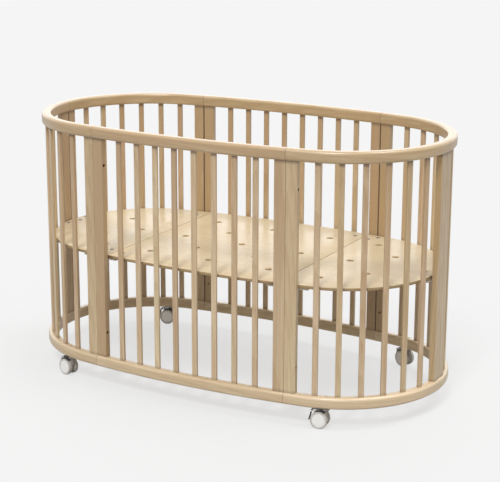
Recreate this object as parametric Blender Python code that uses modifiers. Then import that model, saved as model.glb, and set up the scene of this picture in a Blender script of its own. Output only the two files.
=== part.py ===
"""Oval wooden crib on four braked twin-wheel casters.

Metres, +Z up. The origin is on the floor under the middle of the crib, +X runs along
its length and -Y is its front.
"""

import math

import bmesh
import bpy
from mathutils import Matrix, Vector

# Plan of the rails, measured on their outer faces
HALF_LENGTH = 0.6975
HALF_WIDTH = 0.366
END_RADIUS = 0.341
SIDE_PANEL_ARC = 0.6732

# Heights above the floor
CRIB_HEIGHT = 0.838
RAIL_HEIGHT = 0.036
BOTTOM_RAIL_TOP = 0.0985
BASE_TOP = 0.430

# Rails, slats and post boards
GAP = 0.0003
RAIL_WIDTH = 0.030
RAIL_EDGE = 0.008
POST_WIDTH = 0.0360
POST_THICKNESS = 0.020
POST_INSET = 0.006
POST_EDGE = 0.002
SLAT_WIDTH = 0.0175
SLAT_THICKNESS = 0.010
SLAT_EDGE = 0.0025
SLAT_TENON = 0.006
SIDE_SLATS = 8
SIDE_SLAT_PITCH = 0.0684
END_SLATS = 6
SLAT_MARGIN_AT_SIDE = 0.096
SLAT_MARGIN_AT_END = 0.1013

# Joint bolts through each pair of boards, and the column of holes that holds the base
BOLT_HEIGHTS = (0.179, 0.718)
BOLT_RECESS_RADIUS = 0.0055
BOLT_RECESS_DEPTH = 0.008
HOLE_ROW_PITCH = 0.078
HOLE_ROWS = 4
LOWEST_HOLE = 0.166
HOLE_RADIUS = 0.003
HOLE_DEPTH = 0.010
HOLE_OFFSET = 0.0155

# Mattress base
BASE_THICKNESS = 0.010
BASE_CLEARANCE = 0.0035
BASE_SEAM = 0.3011
VENT_RADIUS = 0.0105
VENT_PITCH = 0.106
VENT_FIRST_END_ROW = 0.3855
BRACKET_WIDTH = 0.130
BRACKET_REACH = 0.070
BRACKET_DROP = 0.050
BRACKET_THICKNESS = 0.003

# Casters
WHEEL_RADIUS = 0.0265
WHEEL_WIDTH = 0.0125
WHEEL_FACETS = 24
HUB_WIDTH = 0.0124
CASTER_TRAIL = 0.017
STUD_RADIUS = 0.004
STUD_RECESS = 0.003
PIN_RADIUS = 0.003
PIN_BOTTOM = 0.0365
FLANGE_RADIUS = 0.011
FLANGE_THICKNESS = 0.002
HUB_RADIUS = 0.0225
BLOCK_BACK = 0.013
BLOCK_FRONT = 0.0075
BLOCK_BOTTOM = 0.0325
CAP_RADIUS = 0.0115
CAP_THICKNESS = 0.0035
GUARD_RADIUS = 0.0280
GUARD_THICKNESS = 0.0026
GUARD_WIDTH = 0.034
GUARD_START = math.radians(58)
GUARD_END = math.radians(112)
EAR_LENGTH = 0.0169
EAR_END = 0.0030
EAR_HEIGHT = 0.0046
EAR_LEAN = math.radians(11.5)
EAR_WIDTH = 0.0022
EAR_OFFSET = 0.0094
LEVER_PIVOT_RADIUS = 0.0360
LEVER_PIVOT_ANGLE = math.radians(137)
LEVER_TOE_REACH = 0.0335
LEVER_TOE_DROP = 0.0030
LEVER_TOE_RADIUS = 0.0020
LEVER_WIDTH = 0.016
LEVER_THICKNESS = 0.0024
LEVER_KNUCKLE_RADIUS = 0.0026
TYRE_DEPTH = 0.0042
TYRE_EDGE = 0.0014
FACE_DISH = 0.0016
FACE_EDGE = 0.0004
AXLE_STOP = 0.0035
AXLE_REACH = 0.0032
CASTER_HEADINGS = {
    "front_left": math.radians(165),
    "front_right": math.radians(189),
    "back_right": math.radians(160),
    "back_left": math.radians(195),
}

# Worked out from the driving dimensions
END_CENTRE = HALF_LENGTH - END_RADIUS
SIDE_RADIUS = (END_CENTRE**2 + HALF_WIDTH**2 - END_RADIUS**2) / (2 * (HALF_WIDTH - END_RADIUS))
SIDE_ANGLE = math.atan2(END_CENTRE, SIDE_RADIUS - HALF_WIDTH)
QUARTER_ARC = SIDE_RADIUS * SIDE_ANGLE + END_RADIUS * (math.pi / 2 - SIDE_ANGLE)
HALF_SIDE = SIDE_PANEL_ARC / 2
END_SLAT_SPAN = QUARTER_ARC - HALF_SIDE - SLAT_MARGIN_AT_SIDE - SLAT_MARGIN_AT_END
END_SLAT_PITCH = END_SLAT_SPAN / (END_SLATS - 1)
CASTER_ARC_FROM_POST = SLAT_MARGIN_AT_SIDE + END_SLAT_PITCH / 2
BOTTOM_RAIL_BOTTOM = BOTTOM_RAIL_TOP - RAIL_HEIGHT
TOP_RAIL_BOTTOM = CRIB_HEIGHT - RAIL_HEIGHT
POST_INNER = POST_INSET + POST_THICKNESS
SLAT_INSET = (RAIL_WIDTH - SLAT_THICKNESS) / 2
BASE_INSET = POST_INNER + BASE_CLEARANCE
BRACKET_HOLE = LOWEST_HOLE + (HOLE_ROWS - 1) * HOLE_ROW_PITCH
WHEEL_OFFSET = HUB_WIDTH / 2 + GAP + WHEEL_WIDTH / 2

JOINT_ARCS = {
    "front_left": -HALF_SIDE,
    "front_right": HALF_SIDE,
    "right_end": QUARTER_ARC,
    "back_right": 2 * QUARTER_ARC - HALF_SIDE,
    "back_left": 2 * QUARTER_ARC + HALF_SIDE,
    "left_end": 3 * QUARTER_ARC,
}
PANELS = {
    "front": ("front_left", "front_right"),
    "front_right": ("front_right", "right_end"),
    "back_right": ("right_end", "back_right"),
    "back": ("back_right", "back_left"),
    "back_left": ("back_left", "left_end"),
    "front_left": ("left_end", "front_left"),
}

WOOD = ((0.62, 0.44, 0.26, 1.0), 0.5, 0.0)
PLYWOOD = ((0.80, 0.66, 0.46, 1.0), 0.45, 0.0)
STEEL = ((0.55, 0.56, 0.58, 1.0), 0.3, 1.0)
DARK_PLASTIC = ((0.05, 0.05, 0.055, 1.0), 0.45, 0.0)
LIGHT_PLASTIC = ((0.66, 0.65, 0.63, 1.0), 0.4, 0.0)

crib = bpy.data.collections.new("oval_crib")
cutters = bpy.data.collections.new("cutters")


def clear_scene():
    for thing in list(bpy.data.objects):
        bpy.data.objects.remove(thing, do_unlink=True)
    bpy.context.scene.collection.children.link(crib)
    bpy.context.scene.collection.children.link(cutters)
    cutters.hide_render = True


def material(name, look):
    colour, roughness, metallic = look
    made = bpy.data.materials.new(name)
    made.use_nodes = True
    shader = made.node_tree.nodes["Principled BSDF"]
    shader.inputs["Base Color"].default_value = colour
    shader.inputs["Roughness"].default_value = roughness
    shader.inputs["Metallic"].default_value = metallic
    made.diffuse_color = colour
    return made


def add_object(name, mesh, look):
    made = bpy.data.objects.new(name, mesh)
    made.data.materials.append(material(name, look))
    crib.objects.link(made)
    return made


def mesh_from(name, body):
    mesh = bpy.data.meshes.new(name)
    body.to_mesh(mesh)
    body.free()
    return mesh


def add_cutter(name, body):
    made = bpy.data.objects.new(name, mesh_from(name, body))
    made.display_type = "WIRE"
    made.hide_render = True
    cutters.objects.link(made)
    return made


def add_boolean(target, tool, operation):
    step = target.modifiers.new(tool.name, "BOOLEAN")
    step.operation = operation
    step.solver = "EXACT"
    step.object = tool
    if operation == "UNION":
        step.use_self = True


def plan_frame(arc):
    """Centre of curvature, radius and outward heading of the plan at an arc length.

    Arc length runs on the outer face from the middle of the front, first towards +X.
    A heading of 0 faces -Y, and a quarter turn faces +X.
    """
    arc = arc % (4 * QUARTER_ARC)
    side = SIDE_RADIUS * SIDE_ANGLE
    end = 2 * END_RADIUS * (math.pi / 2 - SIDE_ANGLE)
    flat_centre = SIDE_RADIUS - HALF_WIDTH
    stretches = (
        (side, 0.0, flat_centre, SIDE_RADIUS),
        (end, END_CENTRE, 0.0, END_RADIUS),
        (2 * side, 0.0, -flat_centre, SIDE_RADIUS),
        (end, -END_CENTRE, 0.0, END_RADIUS),
        (side, 0.0, flat_centre, SIDE_RADIUS),
    )
    heading = 0.0
    for length, centre_x, centre_y, radius in stretches:
        if arc <= length:
            return centre_x, centre_y, radius, heading + arc / radius
        arc -= length
        heading += length / radius
    return 0.0, flat_centre, SIDE_RADIUS, 0.0


def plan_point(arc, inset, height=0.0):
    centre_x, centre_y, radius, heading = plan_frame(arc)
    reach = radius - inset
    return Vector((centre_x + reach * math.sin(heading), centre_y - reach * math.cos(heading), height))


def plan_matrix(arc):
    """Local X runs along the rail, local Y points inwards and local Z is up."""
    heading = plan_frame(arc)[3]
    return Matrix.Translation(plan_point(arc, 0.0)) @ Matrix.Rotation(heading, 4, "Z")


def box(low, high, edge=0.0, edge_axes="", segments=1):
    """A box between two corners, its edges along the named axes rounded by a bevel."""
    low, high = Vector(low), Vector(high)
    body = bmesh.new()
    bmesh.ops.create_cube(body, size=1.0)
    size = high - low
    place = Matrix.Translation((low + high) / 2) @ Matrix.Diagonal((*size, 1.0))
    bmesh.ops.transform(body, matrix=place, verts=body.verts)
    if edge:
        chosen = []
        for line in body.edges:
            along = line.verts[1].co - line.verts[0].co
            axis = max(range(3), key=lambda index: abs(along[index]))
            if "XYZ"[axis] in edge_axes:
                chosen.append(line)
        bmesh.ops.bevel(body, geom=chosen, offset=edge, segments=segments, profile=0.5, affect="EDGES")
    return body


def cylinder(radius, low, high, sides, place=None):
    """A cylinder on local Z between two heights, moved by a matrix."""
    body = bmesh.new()
    bmesh.ops.create_cone(
        body, cap_ends=True, segments=sides, radius1=radius, radius2=radius, depth=high - low
    )
    centre = Matrix.Translation((0, 0, (low + high) / 2))
    bmesh.ops.transform(body, matrix=(place or Matrix()) @ centre, verts=body.verts)
    return body


def merge(bodies):
    """Several separate closed bodies in one bmesh, for use as a single cutter."""
    whole = bmesh.new()
    for body in bodies:
        passing = bpy.data.meshes.new("passing")
        body.to_mesh(passing)
        body.free()
        whole.from_mesh(passing)
        bpy.data.meshes.remove(passing)
    return whole


def cut_across(body, places):
    """Cuts a straight bar into short lengths at the given X places."""
    for place in places:
        geometry = body.verts[:] + body.edges[:] + body.faces[:]
        bmesh.ops.bisect_plane(body, geom=geometry, plane_co=(place, 0, 0), plane_no=(1, 0, 0))


def rail_body(start, end, bottom, top, steps):
    """A straight bar with rounded edges, bent round the plan from one arc to another."""
    body = box((start, 0, bottom), (end, RAIL_WIDTH, top), RAIL_EDGE, "X", 2)
    cut_across(body, [start + (end - start) * step / steps for step in range(1, steps)])
    for corner in body.verts:
        corner.co = plan_point(corner.co.x, corner.co.y, corner.co.z)
    return body


def slat_arcs(panel, start, end):
    if panel in ("front", "back"):
        first = (start + end - SIDE_SLAT_PITCH * (SIDE_SLATS - 1)) / 2
        return [first + SIDE_SLAT_PITCH * number for number in range(SIDE_SLATS)]
    starts_at_side = panel in ("front_right", "back_left")
    margin = SLAT_MARGIN_AT_SIDE if starts_at_side else SLAT_MARGIN_AT_END
    return [start + margin + END_SLAT_PITCH * number for number in range(END_SLATS)]


def slat_body(arc):
    low = (-SLAT_WIDTH / 2, SLAT_INSET, BOTTOM_RAIL_TOP - SLAT_TENON)
    high = (SLAT_WIDTH / 2, SLAT_INSET + SLAT_THICKNESS, TOP_RAIL_BOTTOM - GAP)
    body = box(low, high, SLAT_EDGE, "Z")
    bmesh.ops.transform(body, matrix=plan_matrix(arc), verts=body.verts)
    return body


def make_rails_and_slats():
    for panel, (first_joint, last_joint) in PANELS.items():
        start = JOINT_ARCS[first_joint]
        end = JOINT_ARCS[last_joint]
        if end < start:
            end += 4 * QUARTER_ARC
        steps = 6 if panel in ("front", "back") else 12
        near, far = start + GAP / 2, end - GAP / 2
        top = rail_body(near, far, TOP_RAIL_BOTTOM, CRIB_HEIGHT, steps)
        name = f"{panel}_panel_top_rail"
        add_object(name, mesh_from(name, top), WOOD)
        bottom = rail_body(near, far, BOTTOM_RAIL_BOTTOM, BOTTOM_RAIL_TOP, steps)
        name = f"{panel}_panel_bottom_rail_and_slats"
        rail = add_object(name, mesh_from(name, bottom), WOOD)
        slats = merge([slat_body(arc) for arc in slat_arcs(panel, start, end)])
        add_boolean(rail, add_cutter(f"{panel}_slats", slats), "UNION")
        drill_for_caster(rail, panel)


def drill_for_caster(rail, panel):
    if panel not in CASTER_HEADINGS:
        return
    stem = Matrix.Translation(plan_point(caster_arc(panel), RAIL_WIDTH / 2))
    hole = cylinder(STUD_RADIUS + GAP, BOTTOM_RAIL_BOTTOM - 0.01, BOTTOM_RAIL_TOP + 0.01, 12, stem)
    add_boolean(rail, add_cutter(f"{panel}_stem_hole", hole), "DIFFERENCE")


def make_posts():
    """Two boards side by side at each joint, one at the end of each panel."""
    for panel, joints in PANELS.items():
        for side, joint in zip(("left", "right"), joints):
            outward = 1 if side == "left" else -1
            seam = outward * GAP / 2
            far = outward * (GAP / 2 + POST_WIDTH)
            low = (min(seam, far), POST_INSET, BOTTOM_RAIL_TOP + GAP)
            high = (max(seam, far), POST_INNER, TOP_RAIL_BOTTOM - GAP)
            body = box(low, high, POST_EDGE, "Z")
            name = f"{panel}_panel_{side}_post"
            post = add_object(name, mesh_from(name, body), WOOD)
            post.matrix_world = plan_matrix(JOINT_ARCS[joint])
            if side == "left":
                holes = [bolt_recess(far, height) for height in BOLT_HEIGHTS]
            else:
                holes = [row_hole(row) for row in range(HOLE_ROWS)]
            cutter = add_cutter(f"{name}_holes", merge(holes))
            cutter.matrix_world = post.matrix_world
            add_boolean(post, cutter, "DIFFERENCE")


def row_hole(row):
    height = LOWEST_HOLE + row * HOLE_ROW_PITCH
    turned = Matrix.Rotation(math.pi / 2, 4, "X")
    place = Matrix.Translation((-HOLE_OFFSET, POST_INNER, height)) @ turned
    return cylinder(HOLE_RADIUS, -0.005, HOLE_DEPTH, 6, place)


def bolt_recess(edge, height):
    turned = Matrix.Rotation(math.pi / 2, 4, "Y")
    place = Matrix.Translation((edge, POST_INSET + POST_THICKNESS / 2, height)) @ turned
    return cylinder(BOLT_RECESS_RADIUS, -BOLT_RECESS_DEPTH, 0.005, 10, place)


def vent_places():
    """Air holes in staggered rows: a grid in the middle panel and one in each end panel."""
    columns = [(VENT_PITCH * number, number % 2) for number in range(-2, 3)]
    for side in (-1, 1):
        columns.append((side * VENT_FIRST_END_ROW, 0))
        columns.append((side * (VENT_FIRST_END_ROW + VENT_PITCH), 1))
    places = []
    for x, is_odd in columns:
        rows = (-1, 1) if is_odd else (-2, 0, 2)
        places += [(x, row * VENT_PITCH) for row in rows]
    return places


def base_outline(first_arc, last_arc, steps):
    pitch = (last_arc - first_arc) / steps
    return [plan_point(first_arc + pitch * step, BASE_INSET) for step in range(steps + 1)]


def arc_at(x):
    """Arc length from the middle of the front to the point of the base's edge at X."""
    return SIDE_RADIUS * math.asin(x / (SIDE_RADIUS - BASE_INSET))


def flat_board(name, outline, bottom, thickness, look):
    """A flat outline as a filled 2D curve, extruded and made a mesh."""
    curve = bpy.data.curves.new(name, "CURVE")
    curve.dimensions = "2D"
    curve.fill_mode = "BOTH"
    curve.extrude = thickness / 2
    line = curve.splines.new("POLY")
    line.points.add(len(outline) - 1)
    line.use_cyclic_u = True
    for point, place in zip(line.points, outline):
        point.co = (place[0], place[1], 0.0, 1.0)
    shape = bpy.data.objects.new(f"{name}_outline", curve)
    crib.objects.link(shape)
    shape.location.z = bottom + thickness / 2
    bpy.context.view_layer.update()
    graph = bpy.context.evaluated_depsgraph_get()
    mesh = bpy.data.meshes.new_from_object(shape.evaluated_get(graph))
    body = bmesh.new()
    body.from_mesh(mesh)
    bmesh.ops.remove_doubles(body, verts=body.verts, dist=0.00001)
    bmesh.ops.recalc_face_normals(body, faces=body.faces)
    body.to_mesh(mesh)
    body.free()
    mesh.materials.clear()
    made = add_object(name, mesh, look)
    made.matrix_world = shape.matrix_world.copy()
    bpy.data.objects.remove(shape, do_unlink=True)
    return made


def make_base(carrier):
    seam_arc = arc_at(BASE_SEAM - GAP / 2)
    end_arc = arc_at(BASE_SEAM + GAP / 2)
    around = 2 * QUARTER_ARC
    middle = base_outline(-seam_arc, seam_arc, 6) + base_outline(around - seam_arc, around + seam_arc, 6)
    outlines = {
        "base_middle_panel": middle,
        "base_right_panel": base_outline(end_arc, around - end_arc, 24),
        "base_left_panel": base_outline(around + end_arc, 2 * around - end_arc, 24),
    }
    bottom = BASE_TOP - BASE_THICKNESS
    for name, outline in outlines.items():
        panel = flat_board(name, outline, bottom, BASE_THICKNESS, PLYWOOD)
        left = min(point.x for point in outline)
        right = max(point.x for point in outline)
        vents = [
            cylinder(VENT_RADIUS, bottom - 0.01, BASE_TOP + 0.01, 12, Matrix.Translation((x, y, 0)))
            for x, y in vent_places()
            if left < x < right
        ]
        add_boolean(panel, add_cutter(f"{name}_vents", merge(vents)), "DIFFERENCE")
        parent_in_place(panel, carrier)
    for joint, arc in JOINT_ARCS.items():
        make_bracket(joint, arc, bottom - GAP, carrier)


def make_bracket(joint, arc, top, carrier):
    """An angle bracket that joins the base from below to the two boards of a post."""
    half = BRACKET_WIDTH / 2
    outer = POST_INNER + GAP
    shelf = box((-half, outer, top - BRACKET_THICKNESS), (half, outer + BRACKET_REACH, top))
    name = f"base_bracket_{joint}"
    bracket = add_object(name, mesh_from(name, shelf), STEEL)
    tab = POST_WIDTH
    drop = box((-tab, outer, top - BRACKET_DROP), (tab, outer + BRACKET_THICKNESS, top - 0.001))
    upright = add_cutter(f"{name}_upright", drop)
    turned = Matrix.Rotation(math.pi / 2, 4, "X")
    place = Matrix.Translation((-HOLE_OFFSET, outer, BRACKET_HOLE)) @ turned
    drill = add_cutter(f"{name}_hole", cylinder(HOLE_RADIUS, -0.01, 0.01, 6, place))
    for thing in (bracket, upright, drill):
        thing.matrix_world = plan_matrix(arc)
    add_boolean(bracket, upright, "UNION")
    add_boolean(bracket, drill, "DIFFERENCE")
    parent_in_place(bracket, carrier)


def parent_in_place(child, parent):
    bpy.context.view_layer.update()
    place = child.matrix_world.copy()
    child.parent = parent
    child.matrix_parent_inverse = parent.matrix_world.inverted()
    child.matrix_world = place


def add_empty(name, place):
    made = bpy.data.objects.new(name, None)
    made.empty_display_size = 0.03
    crib.objects.link(made)
    made.matrix_world = place
    bpy.context.view_layer.update()
    return made


def caster_arc(corner):
    """Each caster stands under an end panel, midway between its two slats nearest the side panel."""
    if corner in ("front_right", "back_left"):
        return JOINT_ARCS[corner] + CASTER_ARC_FROM_POST
    return JOINT_ARCS[corner] - CASTER_ARC_FROM_POST


def bent_plate(radius, thickness, width, start, end, steps):
    """A plate bent round the axle, between two angles measured from the stem's side upwards."""
    body = box((start, 0, -width / 2), (end, thickness, width / 2))
    cut_across(body, [start + (end - start) * step / steps for step in range(1, steps)])
    for corner in body.verts:
        angle, reach = corner.co.x, radius + corner.co.y
        corner.co = (reach * math.cos(angle), -corner.co.z, reach * math.sin(angle))
    bmesh.ops.recalc_face_normals(body, faces=body.faces)
    return body


def make_stem(name, stem):
    """A stud through the bottom rail, its flange under the rail and a swivel pin below."""
    flange_top = BOTTOM_RAIL_BOTTOM - GAP
    flange_bottom = flange_top - FLANGE_THICKNESS
    flange = cylinder(FLANGE_RADIUS, flange_bottom, flange_top, 16)
    made = add_object(f"{name}_stem", mesh_from(f"{name}_stem", flange), STEEL)
    stud = cylinder(STUD_RADIUS, flange_top - 0.001, BOTTOM_RAIL_TOP - STUD_RECESS, 12)
    pin = cylinder(PIN_RADIUS, PIN_BOTTOM, flange_bottom + 0.001, 12)
    made.matrix_world = stem
    for label, body in (("stud", stud), ("pin", pin)):
        tool = add_cutter(f"{name}_{label}", body)
        tool.matrix_world = stem
        add_boolean(made, tool, "UNION")
    return flange_bottom


def make_hood(name, swivel, ceiling):
    """The caster's body: a hub between the wheels, a stem block, a cap and a mudguard."""
    across = Matrix.Rotation(math.pi / 2, 4, "X")
    axle = Matrix.Translation((-CASTER_TRAIL, 0, WHEEL_RADIUS))
    half = HUB_WIDTH / 2
    hub = cylinder(HUB_RADIUS, -half, half, 20, axle @ across)
    hood = add_object(f"{name}_hood", mesh_from(f"{name}_hood", hub), DARK_PLASTIC)
    block = box((-BLOCK_BACK, -half, BLOCK_BOTTOM), (BLOCK_FRONT, half, ceiling - 0.001))
    cap = cylinder(CAP_RADIUS, ceiling - CAP_THICKNESS, ceiling - GAP, 16)
    guard = bent_plate(GUARD_RADIUS, GUARD_THICKNESS, GUARD_WIDTH, GUARD_START, GUARD_END, 7)
    ears = []
    for side in (-1, 1):
        ear = box((-EAR_END, -EAR_WIDTH / 2, -EAR_HEIGHT / 2), (EAR_LENGTH, EAR_WIDTH / 2, EAR_HEIGHT / 2))
        shift = Matrix.Translation(lever_pivot()) @ Matrix.Translation((0, side * EAR_OFFSET, 0))
        shift = shift @ Matrix.Rotation(-EAR_LEAN, 4, "Y")
        bmesh.ops.transform(ear, matrix=shift, verts=ear.verts)
        ears.append(ear)
    bmesh.ops.transform(guard, matrix=axle, verts=guard.verts)
    tools = {"block": block, "cap": cap, "guard": guard, "left_ear": ears[0], "right_ear": ears[1]}
    hood.matrix_world = swivel.matrix_world
    for label, body in tools.items():
        tool = add_cutter(f"{name}_{label}", body)
        tool.matrix_world = swivel.matrix_world
        add_boolean(hood, tool, "UNION")
    axle_bore = cylinder(PIN_RADIUS + GAP, -0.02, 0.02, 12, axle @ across)
    stem_bore = cylinder(PIN_RADIUS + GAP, PIN_BOTTOM - GAP, ceiling + 0.01, 12)
    bores = add_cutter(f"{name}_bores", merge([axle_bore, stem_bore]))
    bores.matrix_world = swivel.matrix_world
    add_boolean(hood, bores, "DIFFERENCE")
    parent_in_place(hood, swivel)
    pin_half = WHEEL_OFFSET + AXLE_REACH
    pin = cylinder(PIN_RADIUS, -pin_half, pin_half, 12, across)
    axle_pin = add_object(f"{name}_axle", mesh_from(f"{name}_axle", pin), STEEL)
    axle_pin.matrix_world = swivel.matrix_world @ axle
    parent_in_place(axle_pin, swivel)


def lever_pivot():
    """The brake lever's pin, in the caster's own frame."""
    x = -CASTER_TRAIL + LEVER_PIVOT_RADIUS * math.cos(LEVER_PIVOT_ANGLE)
    return Vector((x, 0, WHEEL_RADIUS + LEVER_PIVOT_RADIUS * math.sin(LEVER_PIVOT_ANGLE)))


def make_lever(name, swivel):
    """A straight brake lever that hangs from its pin behind the wheels and ends in a toe bar."""
    axis = lever_pivot()
    half = LEVER_WIDTH / 2
    across = Matrix.Rotation(math.pi / 2, 4, "X")
    knuckle = cylinder(LEVER_KNUCKLE_RADIUS, -half, half, 12, across)
    lever = add_object(f"{name}_brake_lever", mesh_from(f"{name}_brake_lever", knuckle), DARK_PLASTIC)
    lever.matrix_world = swivel.matrix_world @ Matrix.Translation(axis)
    toe_place = Vector((-CASTER_TRAIL - LEVER_TOE_REACH, 0, WHEEL_RADIUS - LEVER_TOE_DROP)) - axis
    half -= GAP
    blade = box((-LEVER_THICKNESS / 2, -half, -toe_place.length), (LEVER_THICKNESS / 2, half, 0))
    lean = Matrix.Rotation(math.atan2(-toe_place.x, -toe_place.z), 4, "Y")
    bmesh.ops.transform(blade, matrix=lean, verts=blade.verts)
    toe = cylinder(LEVER_TOE_RADIUS, -half, half, 12, Matrix.Translation(toe_place) @ across)
    for label, body in (("blade", blade), ("toe", toe)):
        tool = add_cutter(f"{name}_lever_{label}", body)
        tool.matrix_world = lever.matrix_world
        add_boolean(lever, tool, "UNION")
    parent_in_place(lever, swivel)


def make_wheel(name, swivel, side):
    """A turned wheel with a domed face, a raised rim and a blind bore for the axle."""
    half = WHEEL_WIDTH / 2
    rim = WHEEL_RADIUS - TYRE_DEPTH
    outline = (
        (0.0, half - FACE_EDGE / 2),
        (rim / 2, half - 1.5 * FACE_EDGE),
        (rim - FACE_DISH / 2, half - FACE_DISH),
        (rim, half - FACE_EDGE),
        (rim + FACE_DISH / 2, half),
        (WHEEL_RADIUS - TYRE_EDGE, half),
        (WHEEL_RADIUS, half - TYRE_EDGE),
        (WHEEL_RADIUS, TYRE_EDGE - half),
        (WHEEL_RADIUS - TYRE_EDGE, -half),
        (PIN_RADIUS + GAP, -half),
        (PIN_RADIUS + GAP, AXLE_STOP),
        (0.0, AXLE_STOP),
    )
    profile = bmesh.new()
    corners = [profile.verts.new((radius, 0, height)) for radius, height in outline]
    for first, second in zip(corners, corners[1:]):
        profile.edges.new((first, second))
    wheel = add_object(name, mesh_from(name, profile), LIGHT_PLASTIC)
    turn = wheel.modifiers.new("turn", "SCREW")
    turn.axis = "Z"
    turn.angle = 2 * math.pi
    turn.steps = WHEEL_FACETS
    turn.render_steps = WHEEL_FACETS
    turn.use_merge_vertices = True
    turn.merge_threshold = 0.00001
    turn.use_smooth_shade = False
    place = Matrix.Translation((-CASTER_TRAIL, side * WHEEL_OFFSET, WHEEL_RADIUS))
    wheel.matrix_world = swivel.matrix_world @ place @ Matrix.Rotation(-side * math.pi / 2, 4, "X")
    parent_in_place(wheel, swivel)


def make_casters():
    for corner, heading in CASTER_HEADINGS.items():
        name = f"caster_{corner}"
        stem = Matrix.Translation(plan_point(caster_arc(corner), RAIL_WIDTH / 2))
        ceiling = make_stem(name, stem)
        swivel = add_empty(f"{name}_swivel", stem @ Matrix.Rotation(heading - math.pi, 4, "Z"))
        make_hood(name, swivel, ceiling)
        make_lever(name, swivel)
        make_wheel(f"{name}_right_wheel", swivel, -1)
        make_wheel(f"{name}_left_wheel", swivel, 1)


def main():
    clear_scene()
    make_rails_and_slats()
    make_posts()
    make_base(add_empty("base_height", Matrix.Translation((0, 0, BASE_TOP))))
    make_casters()


main()
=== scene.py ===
"""Looks of an oval wooden crib on four casters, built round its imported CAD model.

Metres, +Z up, in the CAD's own frame: the floor is at zero, +X runs along the crib and
its front faces -Y. Arc lengths run on the rails' outer face from the middle of the
front, first towards +X, and insets are measured inwards from that face.
"""

import math

import bmesh
import bpy
from mathutils import Matrix, Vector


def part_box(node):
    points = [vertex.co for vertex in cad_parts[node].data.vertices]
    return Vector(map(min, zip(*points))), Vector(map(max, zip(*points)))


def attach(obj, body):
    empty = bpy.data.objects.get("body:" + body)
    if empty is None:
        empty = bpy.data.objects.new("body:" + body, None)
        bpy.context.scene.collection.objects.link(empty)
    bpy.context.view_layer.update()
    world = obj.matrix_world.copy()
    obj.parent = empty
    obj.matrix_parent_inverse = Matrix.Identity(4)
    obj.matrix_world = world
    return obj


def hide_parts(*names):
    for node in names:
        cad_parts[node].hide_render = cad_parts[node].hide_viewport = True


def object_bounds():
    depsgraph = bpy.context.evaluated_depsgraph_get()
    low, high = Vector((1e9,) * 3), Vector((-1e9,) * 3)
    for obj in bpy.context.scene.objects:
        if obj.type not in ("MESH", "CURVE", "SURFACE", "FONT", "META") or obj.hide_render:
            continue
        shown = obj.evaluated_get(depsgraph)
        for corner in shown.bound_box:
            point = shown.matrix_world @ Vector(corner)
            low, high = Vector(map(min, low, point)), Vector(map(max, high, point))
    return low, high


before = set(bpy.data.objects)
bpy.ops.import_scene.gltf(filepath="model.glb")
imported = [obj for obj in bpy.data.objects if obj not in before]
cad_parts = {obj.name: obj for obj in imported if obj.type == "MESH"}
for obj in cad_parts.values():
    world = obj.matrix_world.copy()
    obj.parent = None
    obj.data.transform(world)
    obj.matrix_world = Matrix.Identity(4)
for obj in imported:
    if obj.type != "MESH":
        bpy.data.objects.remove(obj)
CAD_LOW, CAD_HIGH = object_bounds()

# Plan of the rails
HALF_LENGTH = CAD_HIGH.x
HALF_WIDTH = CAD_HIGH.y
END_RADIUS = 0.341
SIDE_PANEL_ARC = 0.6732
END_CENTRE = HALF_LENGTH - END_RADIUS
SIDE_RADIUS = (END_CENTRE**2 + HALF_WIDTH**2 - END_RADIUS**2) / (2 * (HALF_WIDTH - END_RADIUS))
SIDE_ANGLE = math.atan2(END_CENTRE, SIDE_RADIUS - HALF_WIDTH)
SIDE_ARC = SIDE_RADIUS * SIDE_ANGLE
END_ARC = 2 * END_RADIUS * (math.pi / 2 - SIDE_ANGLE)
ROUND = 4 * SIDE_ARC + 2 * END_ARC
QUARTER = ROUND / 4
HALF_SIDE = SIDE_PANEL_ARC / 2

JOINTS = {
    "front_left": -HALF_SIDE,
    "front_right": HALF_SIDE,
    "right_end": QUARTER,
    "back_right": 2 * QUARTER - HALF_SIDE,
    "back_left": 2 * QUARTER + HALF_SIDE,
    "left_end": 3 * QUARTER,
}
PANELS = {
    "front": ("front_left", "front_right"),
    "front_right": ("front_right", "right_end"),
    "back_right": ("right_end", "back_right"),
    "back": ("back_right", "back_left"),
    "back_left": ("back_left", "left_end"),
    "front_left": ("left_end", "front_left"),
}

# Rails, slats and boards
GAP = 0.0003
TOP_RAIL_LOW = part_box("front_panel_top_rail")[0].z
TOP_RAIL_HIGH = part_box("front_panel_top_rail")[1].z
RAIL_HEIGHT = TOP_RAIL_HIGH - TOP_RAIL_LOW
BOTTOM_RAIL_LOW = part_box("front_panel_bottom_rail_and_slats")[0].z
BOTTOM_RAIL_HIGH = BOTTOM_RAIL_LOW + RAIL_HEIGHT
RAIL_WIDTH = 0.030
RAIL_RADII = (0.0085, 0.0075, 0.0080, 0.0100)
RAIL_END_BEVEL = 0.0007
RAIL_STEP = 0.012
SLAT_WIDTH = 0.0175
SLAT_THICKNESS = 0.010
SLAT_RADIUS = 0.0026
SLAT_TENON = 0.003
SIDE_SLATS = 8
SIDE_SLAT_PITCH = 0.0684
END_SLATS = 6
SLAT_MARGIN_AT_SIDE = 0.096
SLAT_MARGIN_AT_END = 0.1013
END_SLAT_SPAN = QUARTER - HALF_SIDE - SLAT_MARGIN_AT_SIDE - SLAT_MARGIN_AT_END
END_SLAT_PITCH = END_SLAT_SPAN / (END_SLATS - 1)
POST_WIDTH = 0.0360
POST_THICKNESS = 0.020
POST_INSET = 0.006
POST_RADIUS = 0.0020
POST_SEAM_OUTER = 0.0013
POST_SEAM_INNER = 0.0032
POST_TENON = 0.0012
BOLT_HEIGHTS = (0.179, 0.718)
BOLT_RADIUS = 0.0055
BOLT_DEPTH = 0.0052
LOWEST_HOLE = 0.166
HOLE_PITCH = 0.078
HOLE_ROWS = 4
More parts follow.
